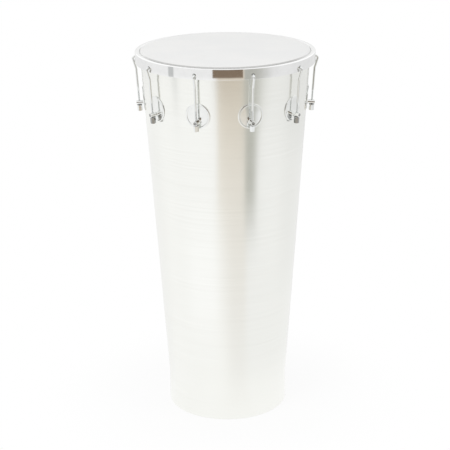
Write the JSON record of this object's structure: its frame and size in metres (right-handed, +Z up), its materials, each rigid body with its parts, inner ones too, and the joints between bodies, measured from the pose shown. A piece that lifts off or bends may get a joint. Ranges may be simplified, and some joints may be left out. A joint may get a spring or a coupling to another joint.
{
  "type": "timbal drum",
  "caption": "Tall cone-shaped single-headed hand drum: metal shell open at the foot, white film head under a chromed rim, pulled down by hooks, lugs and tuning nuts.",
  "frame": {"origin": "centre of the drum's foot, on the floor", "axes": "+Z up the drum's axis towards the head; -Y is the side in the picture, midway between two lugs"},
  "size_m": [0.3918, 0.378, 0.7957],
  "materials": {
    "shell_aluminium": "satin spun",
    "head_film": "fine-grained matte white",
    "hoop_aluminium": "mill",
    "rim_chrome": "mirror",
    "hook_chrome": "mirror",
    "lug_chrome": "mirror",
    "nut_chrome": "mirror",
    "washer_steel": "bright",
    "screw_steel": "zinc plated"
  },
  "bodies": {
    "shell_assembly": {"shell": "shell_aluminium", "lug_1": "lug_chrome", "lug_2": "lug_chrome", "lug_3": "lug_chrome", "lug_4": "lug_chrome", "lug_5": "lug_chrome", "lug_6": "lug_chrome", "lug_7": "lug_chrome", "lug_8": "lug_chrome", "lug_9": "lug_chrome", "lug_10": "lug_chrome", "lug_screw_1": "screw_steel", "lug_screw_2": "screw_steel", "lug_screw_3": "screw_steel", "lug_screw_4": "screw_steel", "lug_screw_5": "screw_steel", "lug_screw_6": "screw_steel", "lug_screw_7": "screw_steel", "lug_screw_8": "screw_steel", "lug_screw_9": "screw_steel", "lug_screw_10": "screw_steel", "washer_1": "washer_steel", "washer_2": "washer_steel", "washer_3": "washer_steel", "washer_4": "washer_steel", "washer_5": "washer_steel", "washer_6": "washer_steel", "washer_7": "washer_steel", "washer_8": "washer_steel", "washer_9": "washer_steel", "washer_10": "washer_steel"},
    "head_assembly": {"rim": "rim_chrome", "flesh_hoop": "hoop_aluminium", "drumhead_film": "head_film"},
    "hook_1": {"hook_1": "hook_chrome"},
    "nut_1": {"nut_1": "nut_chrome"},
    "hook_2": {"hook_2": "hook_chrome"},
    "nut_2": {"nut_2": "nut_chrome"},
    "hook_3": {"hook_3": "hook_chrome"},
    "nut_3": {"nut_3": "nut_chrome"},
    "hook_4": {"hook_4": "hook_chrome"},
    "nut_4": {"nut_4": "nut_chrome"},
    "hook_5": {"hook_5": "hook_chrome"},
    "nut_5": {"nut_5": "nut_chrome"},
    "hook_6": {"hook_6": "hook_chrome"},
    "nut_6": {"nut_6": "nut_chrome"},
    "hook_7": {"hook_7": "hook_chrome"},
    "nut_7": {"nut_7": "nut_chrome"},
    "hook_8": {"hook_8": "hook_chrome"},
    "nut_8": {"nut_8": "nut_chrome"},
    "hook_9": {"hook_9": "hook_chrome"},
    "nut_9": {"nut_9": "nut_chrome"},
    "hook_10": {"hook_10": "hook_chrome"},
    "nut_10": {"nut_10": "nut_chrome"}
  },
  "joints": [
    {"name": "head_slide", "type": "slide", "parent": "shell_assembly", "child": "head_assembly", "axis": [0, 0, 1], "range_m": [0, 0.00845]},
    {"name": "hook_1_slide", "type": "slide", "parent": "shell_assembly", "child": "hook_1", "axis": [0.0207, -0.0638, 0.9977], "range_m": [0, 0.00847]},
    {"name": "nut_1_turn", "type": "hinge", "parent": "shell_assembly", "child": "nut_1", "pos_m": [0.05613, -0.17274, 0.66946], "axis": [0.0207, -0.0638, 0.9977], "range_deg": [-2881, 0]},
    {"name": "hook_2_slide", "type": "slide", "parent": "shell_assembly", "child": "hook_2", "axis": [0.0543, -0.0395, 0.9977], "range_m": [0, 0.00847]},
    {"name": "nut_2_turn", "type": "hinge", "parent": "shell_assembly", "child": "nut_2", "pos_m": [0.14694, -0.10676, 0.66946], "axis": [0.0543, -0.0395, 0.9977], "range_deg": [-2881, 0]},
    {"name": "hook_3_slide", "type": "slide", "parent": "shell_assembly", "child": "hook_3", "axis": [0.0671, 0, 0.9977], "range_m": [0, 0.00847]},
    {"name": "nut_3_turn", "type": "hinge", "parent": "shell_assembly", "child": "nut_3", "pos_m": [0.18163, 0, 0.66946], "axis": [0.0671, 0, 0.9977], "range_deg": [-2881, 0]},
    {"name": "hook_4_slide", "type": "slide", "parent": "shell_assembly", "child": "hook_4", "axis": [0.0543, 0.0395, 0.9977], "range_m": [0, 0.00847]},
    {"name": "nut_4_turn", "type": "hinge", "parent": "shell_assembly", "child": "nut_4", "pos_m": [0.14694, 0.10676, 0.66946], "axis": [0.0543, 0.0395, 0.9977], "range_deg": [-2881, 0]},
    {"name": "hook_5_slide", "type": "slide", "parent": "shell_assembly", "child": "hook_5", "axis": [0.0207, 0.0638, 0.9977], "range_m": [0, 0.00847]},
    {"name": "nut_5_turn", "type": "hinge", "parent": "shell_assembly", "child": "nut_5", "pos_m": [0.05613, 0.17274, 0.66946], "axis": [0.0207, 0.0638, 0.9977], "range_deg": [-2881, 0]},
    {"name": "hook_6_slide", "type": "slide", "parent": "shell_assembly", "child": "hook_6", "axis": [-0.0207, 0.0638, 0.9977], "range_m": [0, 0.00847]},
    {"name": "nut_6_turn", "type": "hinge", "parent": "shell_assembly", "child": "nut_6", "pos_m": [-0.05613, 0.17274, 0.66946], "axis": [-0.0207, 0.0638, 0.9977], "range_deg": [-2881, 0]},
    {"name": "hook_7_slide", "type": "slide", "parent": "shell_assembly", "child": "hook_7", "axis": [-0.0543, 0.0395, 0.9977], "range_m": [0, 0.00847]},
    {"name": "nut_7_turn", "type": "hinge", "parent": "shell_assembly", "child": "nut_7", "pos_m": [-0.14694, 0.10676, 0.66946], "axis": [-0.0543, 0.0395, 0.9977], "range_deg": [-2881, 0]},
    {"name": "hook_8_slide", "type": "slide", "parent": "shell_assembly", "child": "hook_8", "axis": [-0.0671, 0, 0.9977], "range_m": [0, 0.00847]},
    {"name": "nut_8_turn", "type": "hinge", "parent": "shell_assembly", "child": "nut_8", "pos_m": [-0.18163, 0, 0.66946], "axis": [-0.0671, 0, 0.9977], "range_deg": [-2881, 0]},
    {"name": "hook_9_slide", "type": "slide", "parent": "shell_assembly", "child": "hook_9", "axis": [-0.0543, -0.0395, 0.9977], "range_m": [0, 0.00847]},
    {"name": "nut_9_turn", "type": "hinge", "parent": "shell_assembly", "child": "nut_9", "pos_m": [-0.14694, -0.10676, 0.66946], "axis": [-0.0543, -0.0395, 0.9977], "range_deg": [-2881, 0]},
    {"name": "hook_10_slide", "type": "slide", "parent": "shell_assembly", "child": "hook_10", "axis": [-0.0207, -0.0638, 0.9977], "range_m": [0, 0.00847]},
    {"name": "nut_10_turn", "type": "hinge", "parent": "shell_assembly", "child": "nut_10", "pos_m": [-0.05613, -0.17274, 0.66946], "axis": [-0.0207, -0.0638, 0.9977], "range_deg": [-2881, 0]}
  ],
  "couplings": [
    {"joint": "hook_1_slide", "follows": "head_slide", "ratio": 1.0023},
    {"joint": "nut_1_turn", "follows": "head_slide", "rad_per_m": -5950.3},
    {"joint": "hook_2_slide", "follows": "head_slide", "ratio": 1.0023},
    {"joint": "nut_2_turn", "follows": "head_slide", "rad_per_m": -5950.3},
    {"joint": "hook_3_slide", "follows": "head_slide", "ratio": 1.0023},
    {"joint": "nut_3_turn", "follows": "head_slide", "rad_per_m": -5950.3},
    {"joint": "hook_4_slide", "follows": "head_slide", "ratio": 1.0023},
    {"joint": "nut_4_turn", "follows": "head_slide", "rad_per_m": -5950.3},
    {"joint": "hook_5_slide", "follows": "head_slide", "ratio": 1.0023},
    {"joint": "nut_5_turn", "follows": "head_slide", "rad_per_m": -5950.3},
    {"joint": "hook_6_slide", "follows": "head_slide", "ratio": 1.0023},
    {"joint": "nut_6_turn", "follows": "head_slide", "rad_per_m": -5950.3},
    {"joint": "hook_7_slide", "follows": "head_slide", "ratio": 1.0023},
    {"joint": "nut_7_turn", "follows": "head_slide", "rad_per_m": -5950.3},
    {"joint": "hook_8_slide", "follows": "head_slide", "ratio": 1.0023},
    {"joint": "nut_8_turn", "follows": "head_slide", "rad_per_m": -5950.3},
    {"joint": "hook_9_slide", "follows": "head_slide", "ratio": 1.0023},
    {"joint": "nut_9_turn", "follows": "head_slide", "rad_per_m": -5950.3},
    {"joint": "hook_10_slide", "follows": "head_slide", "ratio": 1.0023},
    {"joint": "nut_10_turn", "follows": "head_slide", "rad_per_m": -5950.3}
  ]
}
